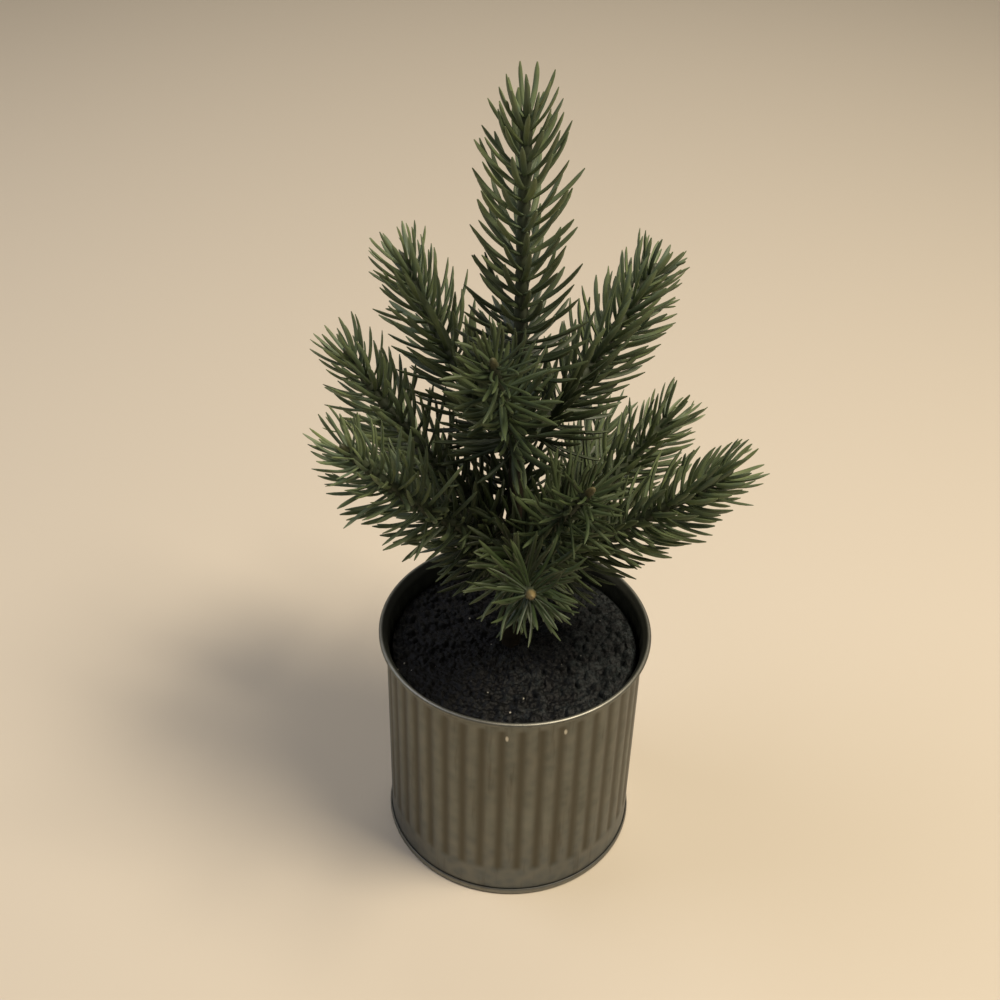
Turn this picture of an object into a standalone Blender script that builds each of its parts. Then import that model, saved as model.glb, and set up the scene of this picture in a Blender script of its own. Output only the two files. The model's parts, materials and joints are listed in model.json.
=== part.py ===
"""Artificial tabletop tree in a fluted tin pot.

Metres, +Z up, the pot stands on Z = 0 with its axis on the Z axis, and the front is towards -Y.
The pot is filled with a plaster weight, a foam plug and a layer of artificial soil. A rod wrapped
in floral tape stands in the foam, and thirteen sprigs are bound to it by their wires. A sprig is a
steel wire inside a moulding of soft needles, and bends up and down about its root on the stem.
"""

import math

import bmesh
import bpy
import numpy as np
from mathutils import Matrix, Vector

for leftover in list(bpy.data.objects):
    bpy.data.objects.remove(leftover, do_unlink=True)

GAP = 0.0003                 # between pieces that touch

# Pot
POT_HEIGHT = 0.095
WALL_RADIUS = 0.0473         # crest of the flutes, and the plain bands
RIM_OVERHANG = 0.0027        # of the rolled rim past the wall
RIM_ROLL = 0.0009            # radius of the rolled rim
RIM_FLARE = 0.0029           # height over which the wall turns out to the roll
SHEET = 0.0005
FLUTES = 42
FLUTE_DEPTH = 0.0009
FLUTE_FOOT = 0.0125          # height of the lower end of the flutes
HEAD_BAND = 0.0045           # from the top of the rim down to the upper end of the flutes
FLUTE_RUNOUT = 0.0025        # over which a flute fades into the plain band
HEM_HEIGHT = 0.0026          # turned-up edge of the base
FOLD = 0.0003                # rounding of the base's edge

# Filling
WEIGHT_HEIGHT = 0.016
SOIL_DROP = 0.0075           # from the top of the rim down to the soil
SOIL_DEPTH = 0.009
SOIL_LUMP = 0.0011
FILL_CLEARANCE = 0.0008      # between the filling and the flutes

# Stem
STEM_X = -0.0015             # the stem stands a little left of the pot's axis
STEM_RISE = 0.1080           # of the stem above the pot
ROD_RADIUS = 0.0010
ROD_SEAT = 0.0048            # how deep the rod stands in the weight
WRAP_CAP = 0.0020            # tape above the end of the rod
WRAP_FOOT_RADIUS = 0.0042
WRAP_TOP_RADIUS = 0.0021

# Sprigs
WIRE_RADIUS = 0.0005
CORE_RADIUS = 0.0016
BARE_WIRE = 0.0050           # from the root to the start of the moulding
TIP_SOLID = 0.0110           # of the moulding past the end of the wire
BUD = 0.0015                 # of the core past the sprig's stated length
WHORL_PITCH = 0.0076
WHORL_BAND = 0.0014          # length of core that one whorl of needles takes
FIRST_WHORL = 0.0125
LAST_WHORL = 0.0020          # from the tip of the core
NEEDLES_ROUND = 7
NEEDLE_TAPER = 0.7           # width of a needle at its middle, as a share of its foot's
NEEDLE_BOW = 0.0012          # of a needle's middle away from the straight line
NEEDLE_LENGTH = 0.0205
TIP_NEEDLE_LENGTH = 0.0160
NEEDLE_ANGLE = 50            # degrees from the core, along the sprig
TIP_NEEDLE_ANGLE = 30
NEEDLE_CLEARANCE = 0.0004    # kept between needles of two sprigs, at rest and when bent

# Heights that follow from these
FLUTE_HEAD = POT_HEIGHT - HEAD_BAND
SOIL_TOP = POT_HEIGHT - SOIL_DROP
STEM_TOP = POT_HEIGHT + STEM_RISE

# name: degrees round the stem from +X, height of the root above the pot, rise of the root and of
# the tip in degrees, length, and how far the sprig bends down and up in degrees
SPRIGS = {
    "leader": (100, STEM_RISE + WIRE_RADIUS + GAP, 86, 90, 0.087, -15, 15),
    "upper_left": (139, 0.077, 37, 58, 0.071, -15, 20),
    "upper_right": (40, 0.080, 33, 52, 0.069, -15, 20),
    "upper_front": (-100, 0.081, 54, 56, 0.072, -15, 15),
    "middle_left": (165, 0.044, 39, 57, 0.080, -15, 20),
    "middle_front_left": (-150, 0.040, 37, 55, 0.080, -15, 20),
    "middle_front": (-86, 0.046, 16, 36, 0.078, -10, 20),
    "middle_back": (95, 0.050, 14, 32, 0.074, -15, 20),
    "lower_back_left": (130, 0.022, 13, 28, 0.076, -10, 20),
    "lower_back_right": (62, 0.021, 14, 28, 0.074, -10, 20),
    "lower_right_back": (27, 0.028, 37, 45, 0.072, -15, 20),
    "lower_right": (-8, 0.030, 30, 44, 0.082, -15, 20),
    "lower_front_right": (-63, 0.034, 56, 52, 0.076, -15, 15),
}

COLOURS = {
    "galvanised": ((0.105, 0.092, 0.070), 0.48, 1.0),
    "galvanised_base": ((0.095, 0.088, 0.074), 0.45, 1.0),
    "plaster": ((0.55, 0.53, 0.49), 0.85, 0.0),
    "foam": ((0.10, 0.13, 0.09), 0.90, 0.0),
    "soil": ((0.012, 0.012, 0.013), 0.95, 0.0),
    "steel": ((0.30, 0.29, 0.27), 0.40, 1.0),
    "tape": ((0.045, 0.030, 0.018), 0.80, 0.0),
    "needles": ((0.022, 0.040, 0.020), 0.55, 0.0),
}


def material(name):
    found = bpy.data.materials.get(name)
    if found:
        return found
    colour, roughness, metallic = COLOURS[name]
    made = bpy.data.materials.new(name)
    made.use_nodes = True
    shader = made.node_tree.nodes["Principled BSDF"]
    shader.inputs["Base Color"].default_value = (*colour, 1.0)
    shader.inputs["Roughness"].default_value = roughness
    shader.inputs["Metallic"].default_value = metallic
    return made


def add_piece(name, bm, colour, smooth_degrees=35):
    """One named piece from a bmesh, its faces turned outward."""
    bmesh.ops.recalc_face_normals(bm, faces=bm.faces)
    mesh = bpy.data.meshes.new(name)
    bm.to_mesh(mesh)
    bm.free()
    piece = bpy.data.objects.new(name, mesh)
    bpy.context.scene.collection.objects.link(piece)
    mesh.materials.append(material(colour))
    mesh.shade_smooth()
    mesh.set_sharp_from_angle(angle=math.radians(smooth_degrees))
    return piece


def revolve(profile, columns, radius_at=None, closed=False):
    """A body turned round Z from (radius, height) points. A closed profile makes a ring, and an
    open one gets a flat face at each end. radius_at(radius, height, column) may press the wall."""
    bm = bmesh.new()
    rings = []
    for radius, height in profile:
        ring = []
        for column in range(columns):
            angle = 2 * math.pi * column / columns
            r = radius_at(radius, height, column) if radius_at else radius
            ring.append(bm.verts.new((r * math.cos(angle), r * math.sin(angle), height)))
        rings.append(ring)
    pairs = list(zip(rings, rings[1:]))
    if closed:
        pairs.append((rings[-1], rings[0]))
    for low, high in pairs:
        for column in range(columns):
            after = (column + 1) % columns
            bm.faces.new((low[column], low[after], high[after], high[column]))
    if not closed:
        bm.faces.new(rings[0])
        bm.faces.new(rings[-1])
    return bm


# Pot wall: one strip of sheet, fluted on both faces, its top edge rolled outward.
COLUMNS_PER_FLUTE = 4


def fade(height):
    """How deep the flutes are at a height, from 0 to 1."""
    foot = (height - FLUTE_FOOT) / FLUTE_RUNOUT
    head = (FLUTE_HEAD - height) / FLUTE_RUNOUT
    return max(0.0, min(1.0, foot, head))


def fluted(radius, height, column):
    groove = 1.0 if column % COLUMNS_PER_FLUTE == 3 else 0.0
    return radius - FLUTE_DEPTH * groove * fade(height)


def wall_profile():
    """Up the inside of the wall, round the rolled rim and down the outside."""
    wall_foot = SHEET + GAP
    heights = [
        wall_foot,
        FLUTE_FOOT,
        FLUTE_FOOT + FLUTE_RUNOUT,
        FLUTE_HEAD - FLUTE_RUNOUT,
        FLUTE_HEAD,
    ]
    inner = [(WALL_RADIUS - SHEET, z) for z in heights]
    roll_centre = WALL_RADIUS + RIM_OVERHANG - RIM_ROLL
    roll_height = POT_HEIGHT - RIM_ROLL
    run = roll_centre - RIM_ROLL - (WALL_RADIUS - SHEET)
    flare = [(run * share ** 2, roll_height - RIM_FLARE * (1 - share)) for share in (0, 0.35, 0.7)]
    roll = []
    for turn in (160, 120, 80, 40, 0, -50, -100, -150):
        angle = math.radians(turn)
        roll.append((
            roll_centre + RIM_ROLL * math.cos(angle),
            roll_height + RIM_ROLL * math.sin(angle),
        ))
    inner += [(WALL_RADIUS - SHEET + out, z) for out, z in flare]
    outer = [(WALL_RADIUS + out, z) for out, z in reversed(flare)]
    outer += [(WALL_RADIUS, z) for z in reversed(heights)]
    return inner + roll + outer


pot_wall = add_piece(
    "pot_wall",
    revolve(wall_profile(), FLUTES * COLUMNS_PER_FLUTE, fluted, closed=True),
    "galvanised",
    50,
)
# The middle of a ridge, at column 1 of 4, faces the front.
pot_wall.rotation_euler[2] = math.radians(-90 - 360 / FLUTES / COLUMNS_PER_FLUTE)

# Pot base: a pan whose edge is turned up round the foot of the wall.
hem_inner = WALL_RADIUS + GAP
hem_outer = hem_inner + SHEET
base_profile = [
    (hem_inner / 2, 0.0),
    (hem_outer - FOLD, 0.0),
    (hem_outer, FOLD),
    (hem_outer, HEM_HEIGHT - FOLD),
    (hem_outer - SHEET / 2, HEM_HEIGHT),
    (hem_inner, HEM_HEIGHT - SHEET / 2),
    (hem_inner, SHEET),
    (hem_inner / 2, SHEET),
]
add_piece("pot_base", revolve(base_profile, 84), "galvanised_base")

# Weight: plaster poured into the pot, with a pocket for the foot of the rod.
fill_radius = WALL_RADIUS - SHEET - FLUTE_DEPTH - FILL_CLEARANCE
weight_foot = SHEET + GAP
weight_top = weight_foot + WEIGHT_HEIGHT
rod_foot = weight_top - ROD_SEAT
pocket = ROD_RADIUS + GAP
weight_profile = [
    (2 * WRAP_FOOT_RADIUS, weight_foot),
    (fill_radius, weight_foot),
    (fill_radius, weight_top),
    (pocket, weight_top),
    (pocket, rod_foot - GAP),
]


def revolve_about_stem(profile, columns, closed=False):
    """As revolve, but rings near the axis are centred on the stem and the others on the pot."""
    bm = revolve(profile, columns, closed=closed)
    for vert in bm.verts:
        if math.hypot(vert.co.x, vert.co.y) < 3 * WRAP_FOOT_RADIUS:
            vert.co.x += STEM_X
    return bm


add_piece("plaster_weight", revolve_about_stem(weight_profile, 48), "plaster")

# Foam plug: pressed in above the weight, bored for the rod.
foam_foot = weight_top + GAP
foam_top = SOIL_TOP - SOIL_DEPTH - GAP
foam_profile = [
    (pocket, foam_foot),
    (fill_radius, foam_foot),
    (fill_radius, foam_top),
    (pocket, foam_top),
]
add_piece("foam_plug", revolve_about_stem(foam_profile, 48, closed=True), "foam")

# Soil: a crust of black grains glued over the foam, with a hole round the stem.
soil_foot = SOIL_TOP - SOIL_DEPTH
soil_hole = WRAP_FOOT_RADIUS + GAP
SOIL_RINGS = 6
SOIL_COLUMNS = 48
soil_profile = [(soil_hole, soil_foot), (fill_radius, soil_foot)]
for step in range(SOIL_RINGS + 1):
    share = step / SOIL_RINGS
    soil_profile.append((fill_radius + (soil_hole - fill_radius) * share, SOIL_TOP - SOIL_LUMP))
soil_mesh = revolve_about_stem(soil_profile, SOIL_COLUMNS, closed=True)
for vert in soil_mesh.verts:
    if vert.co.z > soil_foot + SOIL_LUMP:
        x, y = vert.co.x * 1000, vert.co.y * 1000
        lump = math.sin(0.61 * x + 0.4) * math.sin(0.53 * y) + 0.5 * math.sin(1.3 * x + 1.1 * y)
        vert.co.z += SOIL_LUMP * lump / 1.5
add_piece("soil", soil_mesh, "soil", 60)

# Stem: a steel rod, and the tape wound over it and over the ends of the sprigs' wires.
rod_top = STEM_TOP - WRAP_CAP
rod_chamfer = ROD_RADIUS * 0.4
rod_profile = [
    (ROD_RADIUS - rod_chamfer, rod_foot),
    (ROD_RADIUS, rod_foot + rod_chamfer),
    (ROD_RADIUS, rod_top - rod_chamfer),
    (ROD_RADIUS - rod_chamfer, rod_top),
]
stem_rod = add_piece("stem_rod", revolve(rod_profile, 12), "steel")
stem_rod.location.x = STEM_X

wrap_foot = foam_top + GAP
wrap_waist = POT_HEIGHT + STEM_RISE / 4
wrap_shoulder = STEM_TOP - WRAP_CAP / 2


def wrap_radius(height):
    share = (height - wrap_foot) / (STEM_TOP - wrap_foot)
    return WRAP_FOOT_RADIUS + (WRAP_TOP_RADIUS - WRAP_FOOT_RADIUS) * share


wrap_profile = [
    (pocket - rod_chamfer, rod_top + GAP),
    (pocket, rod_top + GAP - rod_chamfer),
    (pocket, wrap_foot),
    (wrap_radius(wrap_foot), wrap_foot),
    (wrap_radius(wrap_waist), wrap_waist),
    (wrap_radius(wrap_shoulder), wrap_shoulder),
    (WRAP_TOP_RADIUS / 2, STEM_TOP),
]
stem_wrap = add_piece("stem_wrap", revolve(wrap_profile, 20), "tape")
stem_wrap.location.x = STEM_X


# Sprigs
class Sprig:
    """Where one sprig stands, its curve and its needles. Its own frame has the root at the origin
    and X pointing outward from the stem."""

    def __init__(self, name, numbers):
        turn, height, rise, tip_rise, length, low, high = numbers
        self.name = name
        self.turn = math.radians(turn)
        self.rise = math.radians(rise)
        self.curl = math.radians(tip_rise - rise)
        self.length = length
        self.limits = (math.radians(low), math.radians(high))
        root_height = POT_HEIGHT + height
        out = wrap_radius(root_height) + WIRE_RADIUS + GAP if name != "leader" else 0.0
        self.root = Vector((
            STEM_X + out * math.cos(self.turn),
            out * math.sin(self.turn),
            root_height,
        ))

    def frame(self, along):
        """The curve's place and directions at a distance from the root: X across, Y up, Z along."""
        steps = 24
        place = Vector((0.0, 0.0, 0.0))
        if along > 0:
            for step in range(steps):
                angle = self.rise + self.curl * (step + 0.5) / steps * along / self.length
                place += Vector((math.cos(angle), 0.0, math.sin(angle))) * (along / steps)
            angle = self.rise + self.curl * along / self.length
        else:
            angle = self.rise
            place += Vector((math.cos(angle), 0.0, math.sin(angle))) * along
        forward = Vector((math.cos(angle), 0.0, math.sin(angle)))
        upward = Vector((-math.sin(angle), 0.0, math.cos(angle)))
        across = upward.cross(forward)
        turned = Matrix((across, upward, forward)).transposed().to_4x4()
        return Matrix.Translation(place) @ turned

    def whorls(self):
        """(distance along, half turn or not) of each whorl, from the root to the tip."""
        span = self.length - LAST_WHORL - FIRST_WHORL
        count = max(2, round(span / WHORL_PITCH))
        return [
            (FIRST_WHORL + span * number / count, number % 2)
            for number in range(count + 1)
        ]

    def needle(self, along, half, side):
        """Foot, middle and tip of one needle, in the sprig's own frame."""
        share = (along - FIRST_WHORL) / (self.length - FIRST_WHORL)
        late = max(0.0, (share - 0.55) / 0.45)
        lean = math.radians(NEEDLE_ANGLE + (TIP_NEEDLE_ANGLE - NEEDLE_ANGLE) * late)
        length = NEEDLE_LENGTH + (TIP_NEEDLE_LENGTH - NEEDLE_LENGTH) * late
        turn = 2 * math.pi * (side + 0.5 + 0.5 * half) / NEEDLES_ROUND
        around = Vector((math.cos(turn), math.sin(turn), 0.0))
        frame = self.frame(along)
        core = Vector((0.0, 0.0, 1.0))
        reach = (around * math.sin(lean) + core * math.cos(lean)) * length
        bow = (around * math.cos(lean) - core * math.sin(lean)) * NEEDLE_BOW
        foot = around * CORE_RADIUS * math.cos(math.pi / NEEDLES_ROUND)
        return [frame @ point for point in (foot, foot + reach / 2 + bow, foot + reach)]

    def placed(self, bend):
        """The sprig's frame in the tree when it is bent up by an angle."""
        return (
            Matrix.Translation(self.root)
            @ Matrix.Rotation(self.turn, 4, "Z")
            @ Matrix.Rotation(-bend, 4, "Y")
        )


def segment_distance(p0, p1, q0, q1):
    """Distances between segments, and how far along each the nearest points lie. Arrays of shape
    (n, 1, 3) and (1, m, 3) give (n, m)."""
    u, v, w = p1 - p0, q1 - q0, p0 - q0
    a, b, c = (u * u).sum(-1), (u * v).sum(-1), (v * v).sum(-1)
    d, e = (u * w).sum(-1), (v * w).sum(-1)
    det = np.maximum(a * c - b * b, 1e-18)
    s = np.clip((b * e - c * d) / det, 0, 1)
    t = np.clip((b * s + e) / c, 0, 1)
    s = np.clip((b * t - d) / a, 0, 1)
    t = np.clip((b * s + e) / c, 0, 1)
    apart = np.linalg.norm(w + s[..., None] * u - t[..., None] * v, axis=-1)
    return apart, s, t


FOOT_THICKNESS = math.hypot(CORE_RADIUS * math.sin(math.pi / NEEDLES_ROUND), WHORL_BAND / 2)
TIP_THICKNESS = 0.0001       # half the width of a needle at its point
BEND_STEPS = 8
CORE_PIECES = 8


class Segments:
    """Straight pieces that stand still, with the half width at each end."""

    def __init__(self, starts, stops, thick, thin):
        self.starts, self.stops = np.array(starts), np.array(stops)
        self.thick, self.thin = np.array(thick), np.array(thin)


class Needles(Segments):
    """The lower halves of the needles of one sprig, their upper halves and then its core, as
    segments that bend with the sprig."""

    def __init__(self, sprig):
        self.sprig = sprig
        self.keys = [
            (number, side)
            for number in range(len(sprig.whorls()))
            for side in range(NEEDLES_ROUND)
        ]
        whorls = sprig.whorls()
        drawn = [sprig.needle(*whorls[number], side) for number, side in self.keys]
        edges = [
            sprig.frame(sprig.length * step / CORE_PIECES).translation
            for step in range(CORE_PIECES + 1)
        ]
        pieces = [(foot, middle) for foot, middle, _ in drawn]
        pieces += [(middle, tip) for _, middle, tip in drawn]
        pieces += zip(edges, edges[1:])
        self.count = len(drawn)
        middle = FOOT_THICKNESS * NEEDLE_TAPER
        super().__init__(
            [tuple(start) for start, _ in pieces],
            [tuple(stop) for _, stop in pieces],
            [FOOT_THICKNESS] * self.count + [middle] * self.count + [CORE_RADIUS] * CORE_PIECES,
            [middle] * self.count + [TIP_THICKNESS] * self.count + [CORE_RADIUS] * CORE_PIECES,
        )

    def by_needle(self, hit):
        """Rows for the segments made into rows for the needles and one last row for the core."""
        low, high, core = hit[: self.count], hit[self.count: 2 * self.count], hit[2 * self.count:]
        return np.vstack([low | high, core.any(0, keepdims=True)])

    def at(self, bend):
        matrix = np.array(self.sprig.placed(bend))
        return [points @ matrix[:3, :3].T + matrix[:3, 3] for points in (self.starts, self.stops)]


def clashes(one, other, one_ends, other_ends):
    """Which segments of one come too near which of the other."""
    apart, s, t = segment_distance(
        one_ends[0][:, None], one_ends[1][:, None], other_ends[0][None], other_ends[1][None]
    )
    width = one.thick[:, None] * (1 - s) + one.thin[:, None] * s
    other_width = other.thick[None] * (1 - t) + other.thin[None] * t
    return apart < width + other_width + NEEDLE_CLEARANCE


def kept_needles(sprigs):
    """The needles that a sprig really has room for. Needles further from the stem are kept before
    those nearer to it, and none touches another sprig or the stem at rest or when bent."""
    sets = [Needles(sprig) for sprig in sprigs]
    stem = Segments(
        [[STEM_X, 0.0, SOIL_TOP]],
        [[STEM_X, 0.0, STEM_TOP]],
        [WRAP_FOOT_RADIUS],
        [WRAP_TOP_RADIUS],
    )
    allowed = [np.ones(needles.count, bool) for needles in sets]
    steps = {
        i: np.linspace(*needles.sprig.limits, BEND_STEPS + 1) for i, needles in enumerate(sets)
    }
    meets = {}
    for i, one in enumerate(sets):
        for bend in (0.0, *steps[i]):
            hit = clashes(one, stem, one.at(bend), (stem.starts, stem.stops))
            allowed[i] &= ~one.by_needle(hit)[:-1].any(1)
        for j in range(i + 1, len(sets)):
            other = sets[j]
            poses = [(0.0, 0.0)]
            poses += [(bend, 0.0) for bend in steps[i]]
            poses += [(0.0, bend) for bend in steps[j]]
            poses += [(steps[i][0], steps[j][0]), (steps[i][-1], steps[j][-1])]
            hit = np.zeros((len(one.starts), len(other.starts)), bool)
            for bend, other_bend in poses:
                hit |= clashes(one, other, one.at(bend), other.at(other_bend))
            hit = other.by_needle(one.by_needle(hit).T).T
            allowed[i] &= ~hit[:-1, -1]
            allowed[j] &= ~hit[-1, :-1]
            meets[i, j] = hit[:-1, :-1]
    order = []
    for i, needles in enumerate(sets):
        tips = needles.at(0.0)[1][needles.count: 2 * needles.count]
        out = np.hypot(tips[:, 0] - STEM_X, tips[:, 1]) + 0.25 * (tips[:, 2] - POT_HEIGHT)
        order += [(-round(float(out[n]), 6), i, n) for n in range(needles.count) if allowed[i][n]]
    kept = [np.zeros(needles.count, bool) for needles in sets]
    for _, i, n in sorted(order):
        free = True
        for j in range(len(sets)):
            if j > i:
                free = free and not (meets[i, j][n] & kept[j]).any()
            if j < i:
                free = free and not (meets[j, i][:, n] & kept[j]).any()
        kept[i][n] = free
    return [
        {needles.keys[n] for n in range(needles.count) if kept[i][n]}
        for i, needles in enumerate(sets)
    ]


def swept(sprig, stations, sides):
    """A tube drawn along the sprig through (distance, radius, turn) stations and closed at both
    ends. Returns the bmesh, the faces between each two stations in order round the tube, and the
    two end faces."""
    bm = bmesh.new()
    rings = []
    for along, radius, turn in stations:
        frame = sprig.frame(along)
        ring = []
        for side in range(sides):
            angle = 2 * math.pi * (side + turn) / sides
            ring.append(bm.verts.new(frame @ Vector((
                radius * math.cos(angle), radius * math.sin(angle), 0.0,
            ))))
        rings.append(ring)
    bands = []
    for low, high in zip(rings, rings[1:]):
        bands.append([
            bm.faces.new((low[side], low[(side + 1) % sides], high[(side + 1) % sides], high[side]))
            for side in range(sides)
        ])
    ends = bm.faces.new(rings[0]), bm.faces.new(rings[-1])
    return bm, bands, ends


BORE_STATIONS = 8


def wire_reach(sprig):
    return sprig.length - TIP_SOLID


def add_wire(sprig):
    stations = [
        (-0.87 * WIRE_RADIUS, 0.5 * WIRE_RADIUS, 0.0),
        (-0.5 * WIRE_RADIUS, 0.87 * WIRE_RADIUS, 0.0),
        (0.0, WIRE_RADIUS, 0.0),
        (BARE_WIRE, WIRE_RADIUS, 0.0),
    ]
    run = wire_reach(sprig) - BARE_WIRE
    stations += [
        (BARE_WIRE + run * step / BORE_STATIONS, WIRE_RADIUS, 0.0)
        for step in range(1, BORE_STATIONS + 1)
    ]
    bm, _, _ = swept(sprig, stations, NEEDLES_ROUND)
    return add_piece(sprig.name + "_wire", bm, "steel", 65)


def draw_needle(bm, face, foot, middle, tip):
    """A needle drawn out of one face of the core, narrower at its middle and pointed."""
    face = bmesh.ops.extrude_discrete_faces(bm, faces=[face])["faces"][0]
    for vert in face.verts:
        vert.co = middle + (vert.co - foot) * NEEDLE_TAPER
    bmesh.ops.poke(bm, faces=[face])["verts"][0].co = tip


def add_moulding(sprig, kept):
    """The moulding: from the blind end of its bore back to the root, out over the core with a band
    for each whorl, and on to the bud at the tip. Needles are drawn out of the bands' faces."""
    bore = (WIRE_RADIUS + GAP) / math.cos(math.pi / NEEDLES_ROUND)
    run = wire_reach(sprig) - BARE_WIRE
    stations = [(wire_reach(sprig) + GAP, bore, 0.0)]
    stations += [
        (BARE_WIRE + run * step / BORE_STATIONS, bore, 0.0)
        for step in range(BORE_STATIONS - 1, -1, -1)
    ]
    stations.append((BARE_WIRE, CORE_RADIUS, 0.0))
    bands = {}
    for number, (along, half) in enumerate(sprig.whorls()):
        bands[number] = len(stations)
        stations.append((along - WHORL_BAND / 2, CORE_RADIUS, 0.5 * half))
        stations.append((along + WHORL_BAND / 2, CORE_RADIUS, 0.5 * half))
    stations.append((sprig.length + BUD, CORE_RADIUS * 0.45, 0.0))
    bm, faces, _ = swept(sprig, stations, NEEDLES_ROUND)
    for number, (along, half) in enumerate(sprig.whorls()):
        for side in range(NEEDLES_ROUND):
            if (number, side) in kept:
                draw_needle(bm, faces[bands[number]][side], *sprig.needle(along, half, side))
    return add_piece(sprig.name + "_needles", bm, "needles", 25)


sprigs = [Sprig(name, numbers) for name, numbers in SPRIGS.items()]
for sprig, kept in zip(sprigs, kept_needles(sprigs)):
    for piece in (add_wire(sprig), add_moulding(sprig, kept)):
        piece.location = sprig.root
        piece.rotation_euler[2] = sprig.turn
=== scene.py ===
"""Artificial tabletop tree: thirteen moulded sprigs on a taped stem, in a fluted galvanised pot.

Metres, +Z up, with the front towards -Y. The sections follow the order in which the tree is put
together: pot, filling, stem, sprigs. The floor, the light and the camera come last.
"""

import json
import math
import random

import bmesh
import bpy
import numpy as np
from mathutils import Matrix, Vector, noise


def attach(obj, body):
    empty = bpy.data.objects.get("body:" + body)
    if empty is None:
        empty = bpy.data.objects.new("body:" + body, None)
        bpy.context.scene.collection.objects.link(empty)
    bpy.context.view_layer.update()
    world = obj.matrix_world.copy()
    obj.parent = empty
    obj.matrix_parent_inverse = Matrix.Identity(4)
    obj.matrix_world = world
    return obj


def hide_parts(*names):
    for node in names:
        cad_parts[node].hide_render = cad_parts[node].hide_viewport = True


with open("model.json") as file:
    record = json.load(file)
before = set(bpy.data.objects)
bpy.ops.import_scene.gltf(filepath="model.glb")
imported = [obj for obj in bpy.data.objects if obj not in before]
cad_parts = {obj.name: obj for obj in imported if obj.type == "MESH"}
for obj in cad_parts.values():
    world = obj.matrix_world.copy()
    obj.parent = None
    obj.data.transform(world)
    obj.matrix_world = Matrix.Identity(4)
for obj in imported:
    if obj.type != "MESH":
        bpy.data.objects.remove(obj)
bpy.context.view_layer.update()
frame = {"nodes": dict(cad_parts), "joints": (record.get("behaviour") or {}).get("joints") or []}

# ------------------------------------------------------------------------------------------------
# Pot base: a pan pressed from galvanised steel sheet. Its edge is turned up round the foot of the
# wall and crimped there, which leaves a bead of doubled sheet all round the bottom.

SHEET = 0.0005
WALL_RADIUS = 0.0473
SEAM = 0.00012               # between the wall and the turned-up edge
HEM_HEIGHT = 0.0027
HEM_SWELL = 0.00022          # how far the crimped bead stands out
# The bright band at the foot is partly rubbed wear, partly a painted highlight.
BOTTOM_RINGS = (0.018, 0.0445)   # circles that divide the flat bottom
BASE_RUBBED_AND_HIGHLIT = (0.0080, 0.0002)   # heights between which the edge gets bright
PAN_COLUMNS = 192


def linear(colour):
    """A hex sRGB colour as the linear one that a shader takes."""
    shares = [int(colour[place:place + 2], 16) / 255 for place in (1, 3, 5)]
    return (*[c / 12.92 if c <= 0.04045 else ((c + 0.055) / 1.055) ** 2.4 for c in shares], 1.0)


def add(tree, kind, settings=None, links=None):
    """A shader node with its settings, which are inputs or properties, and the sockets that feed it."""
    made = tree.nodes.new("ShaderNode" + kind)
    for name, value in (settings or {}).items():
        if isinstance(name, str) and hasattr(made, name):
            setattr(made, name, value)
        else:
            made.inputs[name].default_value = value
    for name, socket in (links or {}).items():
        tree.links.new(socket, made.inputs[name])
    return made


def blank_material(name):
    """A new material, its node tree and its shader."""
    made = bpy.data.materials.new(name)
    made.use_nodes = True
    return made, made.node_tree, made.node_tree.nodes["Principled BSDF"]


def tinted(tree, colour, layers):
    """A hex colour with tints laid over it. A layer is a value, where the tint starts, where it is
    full, and the tint."""
    mixed = None
    for value, start, full, tint in layers:
        share = add(tree, "MapRange", {"From Min": start, "From Max": full}, {"Value": value})
        links = {0: share.outputs["Result"]}
        if mixed:
            links[6] = mixed.outputs[2]
        mixed = add(tree, "Mix", {"data_type": "RGBA", 6: linear(colour), 7: linear(tint)}, links)
    return mixed.outputs[2]


def turned_piece(name, rows, capped):
    """A closed mesh from rows of points round the axis. Capped, its first and last rows are closed
    with flat faces, and otherwise the last row joins the first."""
    count, columns = rows.shape[:2]
    row, column = np.meshgrid(np.arange(count - 1 if capped else count), np.arange(columns))
    row, column = row.T.ravel(), column.T.ravel()
    after, above = (column + 1) % columns, (row + 1) % count
    quads = np.stack([
        row * columns + column, row * columns + after,
        above * columns + after, above * columns + column,
    ], 1)
    faces = quads.tolist()
    if capped:
        faces.append(list(range(columns - 1, -1, -1)))
        faces.append(list(range((count - 1) * columns, count * columns)))
    mesh = bpy.data.meshes.new(name)
    mesh.from_pydata(rows.reshape(-1, 3).tolist(), [], faces)
    made = bmesh.new()
    made.from_mesh(mesh)
    bmesh.ops.recalc_face_normals(made, faces=made.faces)
    made.to_mesh(mesh)
    made.free()
    piece = bpy.data.objects.new(name, mesh)
    bpy.context.scene.collection.objects.link(piece)
    return piece


def finish_piece(piece, material, smooth_degrees, body, node):
    """Shading and material, and the CAD node that the piece stands for."""
    piece.data.materials.append(material)
    piece.data.shade_smooth()
    piece.data.set_sharp_from_angle(angle=math.radians(smooth_degrees))
    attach(piece, body)
    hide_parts(node)


def around(columns):
    """Angles of the columns of a turned piece."""
    return np.arange(columns) * (2 * math.pi / columns)


def turned_rows(profile, columns):
    """Rows of points from (radius, height) pairs."""
    radius, height = np.array(profile).T[:, :, None]
    angle = around(columns)[None]
    return np.stack([
        radius * np.cos(angle), radius * np.sin(angle), height + 0 * angle,
    ], -1)


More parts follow.
